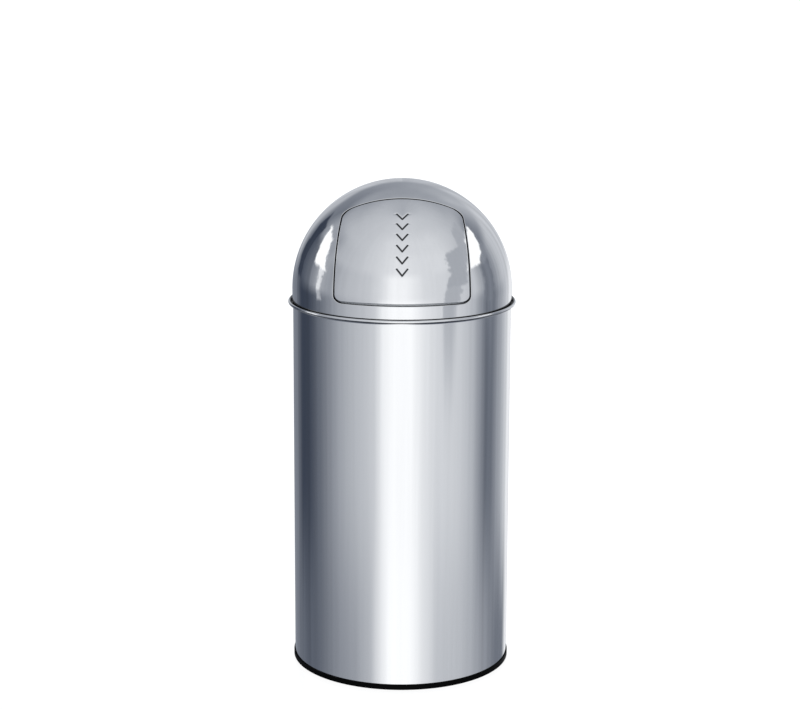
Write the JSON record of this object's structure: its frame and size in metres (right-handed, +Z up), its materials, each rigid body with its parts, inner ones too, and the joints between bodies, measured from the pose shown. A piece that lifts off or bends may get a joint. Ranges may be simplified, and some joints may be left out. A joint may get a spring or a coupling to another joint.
{
  "type": "push bin",
  "caption": "Round dome-top waste bin of polished stainless steel, with an inward-swinging sprung push flap, a lift-off lid, a lift-out liner bucket and a black base ring.",
  "frame": {"origin": "on the floor, under the middle of the bin", "axes": "+Z up, the flap faces -Y, +X to the right seen from the front"},
  "size_m": [0.3498, 0.3498, 0.7574],
  "materials": {
    "stainless_steel": "polished, with faint upright grain",
    "galvanised_steel": "dull zinc coat",
    "spring_steel": "plain",
    "black_plastic": "matt",
    "rubber": "matt"
  },
  "bodies": {
    "body": {"body_shell": "stainless_steel", "body_floor": "galvanised_steel", "base_ring": "black_plastic"},
    "liner": {"liner_wall": "galvanised_steel", "liner_bottom": "galvanised_steel", "liner_ear_left": "galvanised_steel", "liner_ear_right": "galvanised_steel", "liner_rivet_1": "galvanised_steel", "liner_rivet_2": "galvanised_steel", "liner_rivet_3": "galvanised_steel", "liner_rivet_4": "galvanised_steel"},
    "bail": {"liner_bail": "galvanised_steel"},
    "lid": {"dome_shell": "stainless_steel", "locating_band": "stainless_steel", "hinge_pin": "spring_steel", "hinge_bracket_left": "stainless_steel", "hinge_bracket_right": "stainless_steel", "pin_clip_left": "spring_steel", "pin_clip_right": "spring_steel", "torsion_spring_left": "spring_steel", "torsion_spring_right": "spring_steel"},
    "flap": {"flap_panel": "stainless_steel", "flap_backing": "galvanised_steel", "flap_knuckle_left": "galvanised_steel", "flap_knuckle_right": "galvanised_steel", "flap_bumper_left": "rubber", "flap_bumper_right": "rubber"}
  },
  "joints": [
    {"name": "liner_lift", "type": "slide", "parent": "body", "child": "liner", "axis": [0, 0, 1], "range_m": [0, 0.575]},
    {"name": "bail_swing", "type": "hinge", "parent": "liner", "child": "bail", "pos_m": [0, 0, 0.5378], "axis": [1, 0, 0], "range_deg": [0, 180]},
    {"name": "lid_lift", "type": "slide", "parent": "liner", "child": "lid", "axis": [0, 0, 1], "range_m": [0, 0.25]},
    {"name": "flap_hinge", "type": "hinge", "parent": "lid", "child": "flap", "pos_m": [0, -0.06409, 0.71101], "axis": [1, 0, 0], "range_deg": [0, 65], "stiffness_Nm_per_rad": 0.35, "springref_deg": -108.86, "deforming": ["torsion_spring_left", "torsion_spring_right"]}
  ]
}
